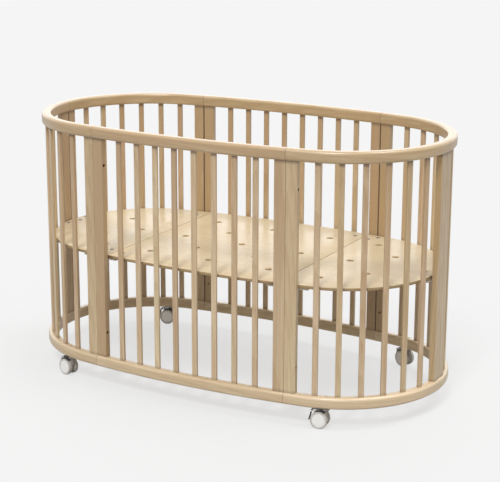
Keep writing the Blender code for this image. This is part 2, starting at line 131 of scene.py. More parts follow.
HOLE_HEIGHTS = [LOWEST_HOLE + HOLE_PITCH * row for row in range(HOLE_ROWS)]
HOLE_RADIUS = 0.003
HOLE_OFFSET = 0.0155
STUD_RECESS_RADIUS = 0.0042
STUD_RECESS_DEPTH = 0.004

# Wood tone, darker towards the top, and painted shade where an upright meets a rail
TOP_DARKENING = 1.1
DARKENING_AT_FLOOR = 0.18
JOINT_SHADE_REACH = 0.011
JOINT_SHADE_FULL = 0.002
JOINT_SHADE_TOP = 0.65
JOINT_SHADE_FOOT = 0.40

# Mattress base
BASE_LOW, BASE_HIGH = (corner.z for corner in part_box("base_middle_panel"))
BASE_THICKNESS = BASE_HIGH - BASE_LOW
BASE_INSET = 0.0295
BASE_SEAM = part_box("base_middle_panel")[1].x
BASE_EDGE = 0.0024
MIDDLE_EDGE_STEPS = 16
END_EDGE_STEPS = 72
VENT_RADIUS = 0.0105
VENT_PITCH = 0.106
VENT_FIRST_END_ROW = 0.3855
VENEER_SHIFT = 0.11
BRACKET_THICKNESS = 0.003
BRACKET_WIDTH = 0.130
BRACKET_REACH = 0.070
BRACKET_DROP = 0.050
BRACKET_INSET = 0.0263

# Casters
WHEEL_RADIUS = 0.0265
WHEEL_WIDTH = 0.0125
WHEEL_OFFSET = 0.01275
WHEEL_SIDES = 72
HUB_WIDTH = 0.0124
CASTER_TRAIL = 0.017
CASTER_ARC_FROM_POST = SLAT_MARGIN_AT_SIDE + END_SLAT_PITCH / 2
CASTER_HEADINGS = {"front_left": 165, "front_right": 189, "back_right": 160, "back_left": 195}
LEVER_RADIUS = 0.0360
LEVER_ANGLE = math.radians(137)
LEVER_TOE_REACH = 0.0335
LEVER_TOE_DROP = 0.0030
LEVER_TOE_RADIUS = 0.0020
EAR_END = 0.0029
EAR_LENGTH = 0.0168
EAR_HEIGHT = 0.0044
EAR_LEAN = math.radians(11.5)
EAR_OFFSET = 0.0094
GUARD_RADIUS = 0.0280
GUARD_THICKNESS = 0.0026
GUARD_WIDTH = 0.034
GUARD_START = math.radians(59)
GUARD_END = math.radians(111)

# Turns a piece's axis from Z to -Y
ACROSS = Matrix.Rotation(math.pi / 2, 4, "X")
# Edges sharper than this stay crisp
SHARP_ANGLE = math.radians(32)

# Camera and light
CAMERA_PLACE = (2.2381, -3.9616, 1.6649)
CAMERA_YAW = math.radians(29.1374)
CAMERA_PITCH = math.radians(15.0598)
CAMERA_ROLL = math.radians(0.1991)
CAMERA_LENS = 105.42
FLOOR_GLOW = 0.652
FLOOR_ALBEDO = 0.175
BOUNCE_ALBEDO = 0.85
FLOOR_REACH = 60.0
WORLD_NEAR = 0.60
WORLD_FAR = 1.80
WORLD_BRIGHT_SIDE = (-0.487, 0.873, 0.0)
WORLD_FADE = (0.45, 0.95)
WHITE = (1.0, 1.0, 1.0, 1.0)
LAMPS = {
    "overhead": ((0.36, 0.14, 1.0), 1.1, 22.0),
    "front": ((0.13, -0.70, 1.0), 1.75, 13.0),
}


# ---------- plan


def plan_frame(arc):
    """Centre of curvature, radius and outward heading of the plan at an arc length."""
    arc = arc % ROUND
    flat = SIDE_RADIUS - HALF_WIDTH
    stretches = (
        (SIDE_ARC, 0.0, flat, SIDE_RADIUS),
        (END_ARC, END_CENTRE, 0.0, END_RADIUS),
        (2 * SIDE_ARC, 0.0, -flat, SIDE_RADIUS),
        (END_ARC, -END_CENTRE, 0.0, END_RADIUS),
        (SIDE_ARC, 0.0, flat, SIDE_RADIUS),
    )
    heading = 0.0
    for length, centre_x, centre_y, radius in stretches:
        if arc <= length:
            return centre_x, centre_y, radius, heading + arc / radius
        arc -= length
        heading += length / radius
    return 0.0, flat, SIDE_RADIUS, 0.0


def plan_point(arc, inset, height=0.0):
    centre_x, centre_y, radius, heading = plan_frame(arc)
    reach = radius - inset
    return Vector((centre_x + reach * math.sin(heading), centre_y - reach * math.cos(heading), height))


def plan_matrix(arc):
    """Local X runs along the rail, local Y points inwards and local Z is up."""
    return Matrix.Translation(plan_point(arc, 0.0)) @ Matrix.Rotation(plan_frame(arc)[3], 4, "Z")


def panel_span(panel):
    start, end = (JOINTS[joint] for joint in PANELS[panel])
    return start, end if end > start else end + ROUND


def slat_arcs(panel):
    start, end = panel_span(panel)
    if panel in ("front", "back"):
        first = (start + end - SIDE_SLAT_PITCH * (SIDE_SLATS - 1)) / 2
        return [first + SIDE_SLAT_PITCH * number for number in range(SIDE_SLATS)]
    margin = SLAT_MARGIN_AT_SIDE if panel in ("front_right", "back_left") else SLAT_MARGIN_AT_END
    return [start + margin + END_SLAT_PITCH * number for number in range(END_SLATS)]


def caster_arc(corner):
    if corner in ("front_right", "back_left"):
        return JOINTS[corner] + CASTER_ARC_FROM_POST
    return JOINTS[corner] - CASTER_ARC_FROM_POST


# ---------- node materials


def add_node(tree, kind, inputs=None, **settings):
    made = tree.nodes.new(kind)
    for key, value in settings.items():
        setattr(made, key, value)
    for key, value in (inputs or {}).items():
        if isinstance(value, bpy.types.NodeSocket):
            tree.links.new(value, made.inputs[key])
        else:
            made.inputs[key].default_value = value
    return made


def maths(tree, operation, first, second=0.0, third=0.0, clamp=False):
    inputs = {0: first, 1: second, 2: third}
    made = add_node(tree, "ShaderNodeMath", inputs, operation=operation, use_clamp=clamp)
    return made.outputs[0]


def remap(tree, value, low, high, to_low=0.0, to_high=1.0):
    inputs = {"Value": value, "From Min": low, "From Max": high, "To Min": to_low, "To Max": to_high}
    return add_node(tree, "ShaderNodeMapRange", inputs).outputs[0]


def mix(tree, factor, first, second, blend="MIX"):
    inputs = {0: factor, 6: first, 7: second}
    return add_node(tree, "ShaderNodeMix", inputs, data_type="RGBA", blend_type=blend).outputs[2]


def stretch(tree, vector, scale):
    inputs = {0: vector, 1: scale}
    return add_node(tree, "ShaderNodeVectorMath", inputs, operation="MULTIPLY").outputs[0]


def noise(tree, vector, detail=2.0, roughness=0.5, distortion=0.0):
    inputs = {"Vector": vector, "Scale": 1.0, "Detail": detail, "Roughness": roughness}
    inputs["Distortion"] = distortion
    return add_node(tree, "ShaderNodeTexNoise", inputs).outputs[0]


def voronoi(tree, vector):
    return add_node(tree, "ShaderNodeTexVoronoi", {"Vector": vector, "Scale": 1.0}).outputs[0]


def attribute(tree, name, output):
    return add_node(tree, "ShaderNodeAttribute", attribute_name=name).outputs[output]


def bump(tree, height, strength, distance):
    inputs = {"Strength": strength, "Distance": distance, "Height": height}
    return add_node(tree, "ShaderNodeBump", inputs).outputs[0]


def colour(red, green, blue):
    """Linear colour from sRGB numbers out of 255."""

    def linear(value):
        value /= 255
        return value / 12.92 if value <= 0.04045 else ((value + 0.055) / 1.055) ** 2.4

    return linear(red), linear(green), linear(blue), 1.0


def new_material(name, **constants):
    made = bpy.data.materials.new(name)
    made.use_nodes = True
    shader = made.node_tree.nodes["Principled BSDF"]
    for key, value in constants.items():
        shader.inputs[key.replace("_", " ")].default_value = value
    return made, made.node_tree, shader


def wood_material(name, light, dark, warm, ring_depth, fleck_depth, coat, gloss, painted_shading_depth):
    """Wood from mesh attributes: grain (along, across, deep), tone, cast, wear with a painted edge
    highlight, and painted shading.
    """
    made, tree, shader = new_material(name, Coat_Weight=coat, Coat_Roughness=0.28, Specular_IOR_Level=gloss)
    grain = attribute(tree, "grain", "Vector")
    tone = attribute(tree, "tone", "Fac")
    cast = attribute(tree, "cast", "Fac")
    wear_and_edge_highlight = attribute(tree, "wear_and_edge_highlight", "Fac")
    painted_shading = attribute(tree, "painted_shading", "Fac")
    rings = add_node(
        tree,
        "ShaderNodeTexWave",
        {
            "Vector": stretch(tree, grain, (0.06, 1.0, 1.0)),
            "Scale": 34.0,
            "Distortion": 4.2,
            "Detail": 3.0,
            "Detail Scale": 0.7,
            "Detail Roughness": 0.5,
        },
        wave_type="RINGS",
        rings_direction="X",
        wave_profile="SAW",
    ).outputs["Fac"]
    late_wood = remap(tree, rings, 0.42, 1.0)
    broad = noise(tree, stretch(tree, grain, (1.9, 30.0, 30.0)), 2.0, 0.5, 0.5)
    band = noise(tree, stretch(tree, grain, (1.3, 95.0, 95.0)), 3.0, 0.6, 0.3)
    streak = noise(tree, stretch(tree, grain, (5.0, 330.0, 330.0)), 3.0, 0.6)
    fibre = noise(tree, stretch(tree, grain, (30.0, 1500.0, 1500.0)), 3.0, 0.65)
    flecks = remap(tree, voronoi(tree, stretch(tree, grain, (190.0, 1350.0, 760.0))), 0.34, 0.06)
    shade = maths(tree, "MULTIPLY", late_wood, ring_depth)
    shade = maths(tree, "MULTIPLY_ADD", remap(tree, broad, 0.32, 0.68), 0.17, shade)
    shade = maths(tree, "MULTIPLY_ADD", remap(tree, band, 0.34, 0.68), 0.26, shade)
    shade = maths(tree, "MULTIPLY_ADD", remap(tree, streak, 0.32, 0.72), 0.22, shade)
    shade = maths(tree, "MULTIPLY_ADD", tone, 0.34, shade)
    # Lighter on rounded corners: wear and a painted edge highlight
    shade = maths(tree, "MULTIPLY_ADD", wear_and_edge_highlight, -0.16, shade, clamp=True)
    body = mix(tree, shade, light, dark)
    body = mix(tree, remap(tree, broad, 0.42, 0.75, 0.0, 0.25), body, warm)
    tint = mix(tree, remap(tree, cast, -1.0, 1.0), (0.985, 1.0, 0.90, 1.0), (1.0, 0.965, 0.93, 1.0))
    body = mix(tree, 1.0, body, tint, "MULTIPLY")
    body = mix(tree, maths(tree, "MULTIPLY", flecks, fleck_depth), body, dark, "MULTIPLY")
    body = mix(tree, remap(tree, fibre, 0.35, 0.75, 0.0, 0.20), body, dark)
    # Painted shade at the joints and seams
    body = mix(tree, maths(tree, "MULTIPLY", painted_shading, painted_shading_depth), body, colour(84, 62, 42))
    tree.links.new(body, shader.inputs["Base Color"])
    rough = maths(tree, "MULTIPLY_ADD", fibre, 0.22, 0.38)
    rough = maths(tree, "MULTIPLY_ADD", flecks, -0.06, rough)
    rough = maths(tree, "MULTIPLY_ADD", wear_and_edge_highlight, -0.08, rough)
    rough = maths(tree, "MULTIPLY_ADD", painted_shading, 0.20, rough)
    tree.links.new(rough, shader.inputs["Roughness"])
    height = maths(tree, "MULTIPLY_ADD", flecks, -0.8, fibre)
    height = maths(tree, "MULTIPLY_ADD", late_wood, 0.5, height)
    tree.links.new(bump(tree, height, 0.20, 0.0002), shader.inputs["Normal"])
    return made


def ply_edge_material():
    """Seven plies: long-grain ones pale, end-grain ones darker, with thin glue lines."""
    made, tree, shader = new_material("ply_edge", Coat_Weight=0.05, Coat_Roughness=0.5)
    grain = attribute(tree, "grain", "Vector")
    height = add_node(tree, "ShaderNodeSeparateXYZ", {0: grain}).outputs[2]
    ply = maths(tree, "DIVIDE", height, BASE_THICKNESS / 7)
    odd = maths(tree, "GREATER_THAN", maths(tree, "MODULO", ply, 2.0), 1.0)
    within = maths(tree, "ABSOLUTE", maths(tree, "SUBTRACT", maths(tree, "FRACT", ply), 0.5))
    glue = remap(tree, within, 0.40, 0.5)
    fibre = noise(tree, stretch(tree, grain, (60.0, 60.0, 900.0)), 3.0, 0.6)
    pores = noise(tree, stretch(tree, grain, (1400.0, 1400.0, 1400.0)), 2.0, 0.6)
    body = mix(tree, odd, colour(194, 170, 130), colour(146, 122, 88))
    body = mix(tree, remap(tree, fibre, 0.3, 0.75, 0.0, 0.5), body, colour(160, 136, 100))
    body = mix(tree, maths(tree, "MULTIPLY", glue, 0.7), body, colour(96, 66, 40))
    body = mix(tree, remap(tree, pores, 0.5, 0.8, 0.0, 0.5), body, colour(104, 74, 46))
    # Painted shading: darker on the seam edges, lighter on the shaded walls of the vents
    painted_shading = attribute(tree, "painted_shading", "Fac")
    body = mix(tree, maths(tree, "MULTIPLY", painted_shading, 0.90, clamp=True), body, colour(92, 64, 38))
    body = mix(tree, maths(tree, "MULTIPLY", painted_shading, -0.80, clamp=True), body, colour(200, 176, 134))
    tree.links.new(body, shader.inputs["Base Color"])
    tree.links.new(remap(tree, pores, 0.3, 0.8, 0.55, 0.8), shader.inputs["Roughness"])
    tree.links.new(bump(tree, pores, 0.25, 0.0003), shader.inputs["Normal"])
    return made


def plastic_material(name, light, dark, rough, texture_scale):
    """Moulded plastic with a fine spark texture, faint mottling and edges lightened by rubbing and a
    painted highlight.
    """
    made, tree, shader = new_material(name, IOR=1.5)
    place = add_node(tree, "ShaderNodeTexCoord").outputs["Object"]
    fine = noise(tree, stretch(tree, place, (texture_scale,) * 3), 2.0, 0.6)
    mottle = noise(tree, stretch(tree, place, (90.0,) * 3), 3.0, 0.55)
    dust = noise(tree, stretch(tree, place, (420.0,) * 3), 4.0, 0.7)
    wear_and_edge_highlight = attribute(tree, "wear_and_edge_highlight", "Fac")
    body = mix(tree, remap(tree, mottle, 0.3, 0.7, 0.0, 0.6), light, dark)
    body = mix(tree, remap(tree, dust, 0.55, 0.8, 0.0, 0.35), body, dark)
    # Lighter edges: rubbing and a painted highlight
    body = mix(tree, maths(tree, "MULTIPLY", wear_and_edge_highlight, 0.5), body, light)
    tree.links.new(body, shader.inputs["Base Color"])
    value = maths(tree, "MULTIPLY_ADD", dust, 0.16, rough - 0.08)
    value = maths(tree, "MULTIPLY_ADD", wear_and_edge_highlight, -0.08, value)
    tree.links.new(value, shader.inputs["Roughness"])
    tree.links.new(bump(tree, fine, 0.18, 0.0001), shader.inputs["Normal"])
    return made


def steel_material(name, light, dark, rough):
    """Plated steel: a mottled crystalline plating with fine brushing and dull patches."""
    made, tree, shader = new_material(name, Metallic=1.0)
    place = add_node(tree, "ShaderNodeTexCoord").outputs["Object"]
    spangle = voronoi(tree, stretch(tree, place, (310.0,) * 3))
    brush = noise(tree, stretch(tree, place, (90.0, 1600.0, 1600.0)), 3.0, 0.6)
    patch = noise(tree, stretch(tree, place, (60.0,) * 3), 4.0, 0.6)
    wear_and_edge_highlight = attribute(tree, "wear_and_edge_highlight", "Fac")
    body = mix(tree, remap(tree, patch, 0.3, 0.7), light, dark)
    body = mix(tree, remap(tree, spangle, 0.1, 0.9, 0.0, 0.35), body, light)
    # Lighter by wear and a painted highlight
    body = mix(tree, maths(tree, "MULTIPLY", wear_and_edge_highlight, 0.6), body, light)
    tree.links.new(body, shader.inputs["Base Color"])
    value = maths(tree, "MULTIPLY_ADD", brush, 0.2, rough - 0.1)
    value = maths(tree, "MULTIPLY_ADD", patch, 0.12, value)
    tree.links.new(value, shader.inputs["Roughness"])
    tree.links.new(bump(tree, brush, 0.12, 0.0001), shader.inputs["Normal"])
    return made


BEECH_LIGHT = colour(230, 210, 181)
BEECH_DARK = colour(179, 150, 115)
BEECH_WARM = colour(204, 173, 135)
BIRCH_LIGHT = colour(209, 194, 169)
BIRCH_DARK = colour(186, 165, 132)
BIRCH_WARM = colour(204, 183, 150)
beech = wood_material("beech", BEECH_LIGHT, BEECH_DARK, BEECH_WARM, 0.20, 0.34, 1.0, 0.5, 0.82)
birch = wood_material("birch_veneer", BIRCH_LIGHT, BIRCH_DARK, BIRCH_WARM, 0.16, 0.14, 0.12, 0.3, 0.0)
ply_edge = ply_edge_material()
pale_plastic = plastic_material("pale_plastic", colour(246, 245, 242), colour(237, 236, 233), 0.38, 2600.0)
grey_plastic = plastic_material("grey_plastic", colour(222, 220, 216), colour(200, 197, 192), 0.5, 2200.0)
taupe_plastic = plastic_material("taupe_plastic", colour(158, 150, 143), colour(132, 124, 117), 0.5, 2200.0)
dark_plastic = plastic_material("dark_plastic", colour(66, 62, 60), colour(40, 38, 37), 0.45, 2200.0)
tread_rubber = plastic_material("tread_rubber", colour(186, 181, 173), colour(160, 155, 147), 0.65, 1500.0)
zinc_steel = steel_material("zinc_steel", colour(196, 198, 200), colour(142, 145, 149), 0.34)
dull_steel = steel_material("dull_steel", colour(166, 163, 160), colour(128, 125, 122), 0.5)
warm_steel = steel_material("warm_steel", colour(220, 214, 204), colour(190, 182, 170), 0.5)
black_steel = steel_material("black_steel", colour(44, 42, 40), colour(22, 21, 20), 0.5)


# ---------- mesh tools


def rounded_section(low, high, radii, shrink=0.0, turns=5):
    """Points round a rectangle, anticlockwise from its low corner, each corner rounded."""
    low_a, low_b = low[0] + shrink, low[1] + shrink
    high_a, high_b = high[0] - shrink, high[1] - shrink
    corners = (
        (low_a, low_b, 1, 1),
        (high_a, low_b, -1, 1),
        (high_a, high_b, -1, -1),
        (low_a, high_b, 1, -1),
    )
    points = []
    for number, (corner_a, corner_b, side_a, side_b) in enumerate(corners):
        radius = max(radii[number] - shrink, 0.0001)
        centre_a, centre_b = corner_a + side_a * radius, corner_b + side_b * radius
        for turn in range(turns + 1):
            angle = math.pi * (1 + number / 2) + math.pi / 2 * turn / turns
            points.append((centre_a + radius * math.cos(angle), centre_b + radius * math.sin(angle)))
    return points


def slices(section, heights):
    """The same outline in X and Y at several heights, ready for loft()."""
    return [[Vector((x, y, height)) for x, y in section] for height in heights]


def loft(body, rings):
    """A closed skin over rings of points, with flat ends."""
    levels = [[body.verts.new(point) for point in ring] for ring in rings]
    for near, far in zip(levels, levels[1:]):
        for index in range(len(near)):
            after = (index + 1) % len(near)
            body.faces.new((near[index], near[after], far[after], far[index]))
    body.faces.new(list(reversed(levels[0])))
    body.faces.new(levels[-1])
    return body


def turned(body, outline, sides, place=None):
    """A turned solid round local Z from (radius, height) points.

    It is closed by ends on the axis or, where neither end is, by a wall from the last to the first.
    """
    place = place or Matrix()
    rings = []
    for radius, height in outline:
        if radius < 1e-7:
            rings.append([body.verts.new(place @ Vector((0, 0, height)))])
            continue
        ring = []
        for side in range(sides):
            angle = 2 * math.pi * side / sides
            spot = Vector((radius * math.cos(angle), radius * math.sin(angle), height))
            ring.append(body.verts.new(place @ spot))
        rings.append(ring)
    for near, far in zip(rings, rings[1:] + rings[:1]):
        for index in range(sides):
            after = (index + 1) % sides
            quad = (
                near[index % len(near)],
                near[after % len(near)],
                far[after % len(far)],
                far[index % len(far)],
            )
            kept = []
            for corner in quad:
                if corner not in kept:
                    kept.append(corner)
            if len(kept) > 2:
                body.faces.new(kept)
    return body


def rod(radius, low, high, edge):
    """Outline of a plain rod with small bevelled ends, for turned()."""
    return (
        (0, low),
        (radius - edge, low),
        (radius, low + edge),
        (radius, high - edge),
        (radius - edge, high),
        (0, high),
    )


def new_object(name, data):
    made = bpy.data.objects.new(name, data)
    bpy.context.scene.collection.objects.link(made)
    return made


def final_mesh(made):
    """The mesh that an object has after its modifiers, or its curve filled in."""
    bpy.context.view_layer.update()
    return bpy.data.meshes.new_from_object(made.evaluated_get(bpy.context.evaluated_depsgraph_get()))


def mesh_of(name, body):
    bmesh.ops.recalc_face_normals(body, faces=body.faces)
    mesh = bpy.data.meshes.new(name)
    body.to_mesh(mesh)
    body.free()
    return mesh


def carve(mesh, tool_body):
    """The mesh with another body taken out of it."""
    part = new_object("carved", mesh)
    tool = new_object("tool", mesh_of("tool", tool_body))
    step = part.modifiers.new("carve", "BOOLEAN")
    step.operation = "DIFFERENCE"
    step.solver = "EXACT"
    step.object = tool
    made = final_mesh(part)
    bpy.data.objects.remove(part)
    bpy.data.objects.remove(tool)
    return made


def corner_wear_and_highlight(first, second, radius):
    """1 in the middle of a rounded corner, 0 on the flats, from the distances to its faces; it marks wear
    together with a painted edge highlight.
    """
    at_middle = 0.41
    return max(0.0, min(1.0, (1 - (abs(first) + abs(second)) / radius) / at_middle))


def add_attributes(mesh, grain_of, wear_and_highlight_of, seed, mood=None, painted_shading_of=None):
    """Stores where each point sits in its plank, how rubbed it is with its painted edge highlight, and its
    painted shading.

    The plank is cut at a slight slant to its tree, which makes the rings meet in arches.
    """
    shift = Vector((7.31 * (seed % 17), 0.004 + 0.009 * (seed % 5), 0.026 + 0.011 * (seed % 7)))
    slant = 0.020 + 0.012 * (seed % 6)
    tone, cast = mood or (0.7 * math.sin(12.9898 * seed), math.sin(4.1414 * seed + 1.3))
    mesh.attributes.new("grain", "FLOAT_VECTOR", "POINT")
    for name in ("wear_and_edge_highlight", "painted_shading", "tone", "cast"):
        mesh.attributes.new(name, "FLOAT", "POINT")
    layers = mesh.attributes
    for index, vertex in enumerate(mesh.vertices):
        # Darker towards the top
        darkening = TOP_DARKENING * (vertex.co.z / CAD_HIGH.z + DARKENING_AT_FLOOR)
        place = Vector(grain_of(vertex.co))
        place.z += slant * place.x
        layers["grain"].data[index].vector = place + shift
        layers["wear_and_edge_highlight"].data[index].value = wear_and_highlight_of(vertex.co)
        layers["painted_shading"].data[index].value = painted_shading_of(vertex.co) if painted_shading_of else 0.0
        layers["tone"].data[index].value = tone + darkening
        layers["cast"].data[index].value = cast


def add_piece(name, mesh, body, nodes, looks, place=None):
    """Puts a finished piece on its CAD body, in the place of the CAD nodes it stands for."""
    if "wear_and_edge_highlight" not in mesh.attributes:
        add_attributes(mesh, lambda point: point, lambda point: 0.0, 0)
    for look in looks:
        mesh.materials.append(look)
    mesh.shade_smooth()
    mesh.set_sharp_from_angle(angle=SHARP_ANGLE)
    made = new_object(name, mesh)
    if place is not None:
        made.matrix_world = place
    normals = made.modifiers.new("normals", "WEIGHTED_NORMAL")
    normals.keep_sharp = True
    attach(made, body)
    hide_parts(*nodes)
    return made


# ---------- rails, slats and boards


def rail_mesh(panel, low, high):
    """A bent bar with rounded edges and a fine bevel at each end, in arc, inset and height."""
    start, end = panel_span(panel)
    start, end = start + GAP / 2, end - GAP / 2
    count = round((end - start) / RAIL_STEP)
    arcs = [start + (end - start) * step / count for step in range(count + 1)]
    arcs = [start, start + RAIL_END_BEVEL] + arcs[1:-1] + [end - RAIL_END_BEVEL, end]
    rings = []
    for number, arc in enumerate(arcs):
        shrink = RAIL_END_BEVEL if number in (0, len(arcs) - 1) else 0.0
        section = rounded_section((0, low), (RAIL_WIDTH, high), RAIL_RADII, shrink, 7)
        rings.append([Vector((arc, inset, height)) for inset, height in section])
    return mesh_of(f"{panel}_rail", loft(bmesh.new(), rings))


def bend_rail(mesh):
    for vertex in mesh.vertices:
        vertex.co = plan_point(vertex.co.x, vertex.co.y, vertex.co.z)
    mesh.update()


def add_rail(panel, name, low, high, node, seed, holes=()):
    """A rail with a recess over each caster stud, lighter on its corners by wear and a painted highlight,
    and with painted shade on its ends, in the joints.
    """
    mesh = rail_mesh(panel, low, high)
    for arc in holes:
        place = Matrix.Translation((arc, RAIL_WIDTH / 2, 0))
        outline = (
            (0, high - STUD_RECESS_DEPTH),
            (STUD_RECESS_RADIUS, high - STUD_RECESS_DEPTH),
            (STUD_RECESS_RADIUS, high + 0.01),
            (0, high + 0.01),
        )
        mesh = carve(mesh, turned(bmesh.new(), outline, 20, place))
    start, end = panel_span(panel)

    # Painted shade on the rail's ends, in the joints between rails
    def rail_joint_shade(point):
        if min(point.x - start, end - point.x) > GAP:
            return 0.0
        return 0.9 if point.y > RAIL_WIDTH * 0.6 else 0.6

    def rail_wear_and_highlight(point):
        across = min(point.y, RAIL_WIDTH - point.y)
        up = min(point.z - low, high - point.z)
        return corner_wear_and_highlight(across, up, RAIL_RADII[2])

    def rail_grain(point):
        return point.x - start, point.z - low, point.y

    add_attributes(mesh, rail_grain, rail_wear_and_highlight, seed, MOODS.get(name), rail_joint_shade)
    bend_rail(mesh)
    return add_piece(name, mesh, "crib_frame", [node], [beech])


def upright_levels(tenon):
    """Heights at which an upright's skin has rings: its ends and close to both rails."""
    return (
        BOTTOM_RAIL_HIGH - tenon,
        BOTTOM_RAIL_HIGH + JOINT_SHADE_FULL,
        BOTTOM_RAIL_HIGH + JOINT_SHADE_REACH,
        TOP_RAIL_LOW - JOINT_SHADE_REACH,
        TOP_RAIL_LOW - JOINT_SHADE_FULL,
        TOP_RAIL_LOW + tenon,
    )


def upright_grain(point):
    return point.z, point.x, point.y


def joint_painted_shade(point):
    """How much painted shade darkens an upright at a point, near where it meets the rails."""
    below, above = TOP_RAIL_LOW - point.z, point.z - BOTTOM_RAIL_HIGH
    depth = JOINT_SHADE_TOP if below < above else JOINT_SHADE_FOOT
    fade = (JOINT_SHADE_REACH - min(below, above)) / (JOINT_SHADE_REACH - JOINT_SHADE_FULL)
    return depth * max(0.0, min(1.0, fade))


def slat_mesh():
    inset = (RAIL_WIDTH - SLAT_THICKNESS) / 2
    corners = ((-SLAT_WIDTH / 2, inset), (SLAT_WIDTH / 2, inset + SLAT_THICKNESS))
    section = rounded_section(*corners, (SLAT_RADIUS,) * 4)
    mesh = mesh_of("slat", loft(bmesh.new(), slices(section, upright_levels(SLAT_TENON))))

    def slat_wear_and_highlight(point):
        across = SLAT_WIDTH / 2 - abs(point.x)
        deep = min(point.y - corners[0][1], corners[1][1] - point.y)
        return corner_wear_and_highlight(across, deep, SLAT_RADIUS)

    return mesh, slat_wear_and_highlight


def bolt_place(edge, height):
    """Local Z points from a board's edge into it, along the bolt."""
    spot = Matrix.Translation((edge, POST_INSET + POST_THICKNESS / 2, height))
    return spot @ Matrix.Rotation(-math.pi / 2, 4, "Y")


def post_mesh(side):
    """A board of a post: before a joint (-1) it has the fixing holes, after it (1) the bolts."""
    near, far = side * GAP / 2, side * (GAP / 2 + POST_WIDTH)
    corners = ((min(near, far), POST_INSET), (max(near, far), POST_INSET + POST_THICKNESS))
    radii = [POST_SEAM_OUTER, POST_RADIUS, POST_RADIUS, POST_SEAM_INNER]
    if side < 0:
        radii = [POST_RADIUS, POST_SEAM_OUTER, POST_SEAM_INNER, POST_RADIUS]
    section = rounded_section(*corners, radii, turns=4)
    mesh = mesh_of("post_board", loft(bmesh.new(), slices(section, upright_levels(POST_TENON))))
    tools = bmesh.new()
    for height in HOLE_HEIGHTS if side < 0 else ():
        place = Matrix.Translation((side * HOLE_OFFSET, POST_INSET + POST_THICKNESS, height)) @ ACROSS
        chamfer = 0.0005
        outline = (
            (0, 0.0095),
            (HOLE_RADIUS, 0.0095),
            (HOLE_RADIUS, chamfer),
            (HOLE_RADIUS + 2 * chamfer, -chamfer),
            (0, -chamfer),
        )
        turned(tools, outline, 20, place)
    if side > 0:
        for height in BOLT_HEIGHTS:
            place = bolt_place(far, height)
            outline = ((0, 0.008), (BOLT_RADIUS, 0.008), (BOLT_RADIUS, -0.001), (0, -0.001))
            turned(tools, outline, 24, place)
    mesh = carve(mesh, tools)

    def post_wear_and_highlight(point):
        across = min(point.x - corners[0][0], corners[1][0] - point.x)
        deep = min(point.y - corners[0][1], corners[1][1] - point.y)
        return corner_wear_and_highlight(across, deep, POST_RADIUS)

    # Painted shade in the seam between a post's boards and where the post meets the rails
    def post_painted_shade(point):
        within = point.y > POST_INSET + POST_THICKNESS / 2
        reach = POST_SEAM_INNER if within else POST_SEAM_OUTER
        near = 1.0 - (abs(point.x) - GAP / 2) / reach
        seam = max(0.0, min(1.0, 1.8 * near)) if within else 0.2 * max(0.0, near)
        return max(seam, joint_painted_shade(point))

    return mesh, post_wear_and_highlight, post_painted_shade


def bolt_mesh(far):
    """Two socket-head bolts sunk in a board's edge, each with a six-sided socket."""
    body = bmesh.new()
    for height in BOLT_HEIGHTS:
        place = bolt_place(far, height)
        face = BOLT_DEPTH - 0.0012
        rim = BOLT_RADIUS - 0.0003
        outline = (
            (0, 0.0078),
            (rim, 0.0078),
            (rim, face + 0.0004),
            (rim - 0.0004, face),
            (0.0026, face),
            (0.0025, face + 0.0002),
            (0.0025, face + 0.0035),
            (0, face + 0.0042),
        )
        turned(body, outline, 24, place)
    return mesh_of("bolts", body)


# Tone (light to dark) and cast (olive to pink) of the pieces that stand out from the rest
MOODS = {
    "front_left_right_post_board": (0.45, -1.0),
    "front_left_post_board": (1.5, 0.0),
    "front_right_post_board": (0.7, 0.2),
    "front_right_right_post_board": (0.9, -0.9),
    "back_right_left_post_board": (0.9, -0.9),
    "front_left_left_post_board": (0.8, 0.0),
    "back_left_right_post_board": (0.9, 0.3),
    "front_right_left_post_board": (0.1, -0.9),
    "back_right_post_board": (2.1, -1.0),
    "back_left_left_post_board": (1.0, -0.5),
    "back_right_right_post_board": (2.5, -1.0),
    "back_left_post_board": (1.6, 0.4),
    "front_slat_1": (0.45, 0.2),
    "front_slat_2": (-0.1, 0.1),
    "front_slat_3": (-0.6, -0.8),
    "front_slat_4": (0.8, 0.4),
    "front_slat_5": (-0.4, 0.0),
    "front_slat_6": (-0.4, 0.1),
    "front_slat_7": (0.2, 0.3),
    "front_slat_8": (-0.1, 0.2),
    "back_top_rail": (0.5, -1.0),
    "back_left_top_rail": (0.4, -0.8),
    "back_right_top_rail": (0.5, -1.0),
    "back_bottom_rail": (0.2, -1.0),
    "back_right_bottom_rail": (-0.4, -1.0),
    "front_top_rail": (0.5, -0.2),
    "front_left_top_rail": (0.4, -0.4),
    "front_right_top_rail": (0.4, -0.7),
    "front_bottom_rail": (-0.15, 0.0),
    "front_left_bottom_rail": (0.1, -0.2),
    "front_right_bottom_rail": (-0.5, 0.2),
}


def slat_mood(panel, name, seed):
    """Slats of the back are golden, some darker than others; the rest follow MOODS or the seed."""
    if name in MOODS or panel != "back":
        return MOODS.get(name)
    return 0.5 + 0.5 * math.sin(12.9 * seed), -0.5


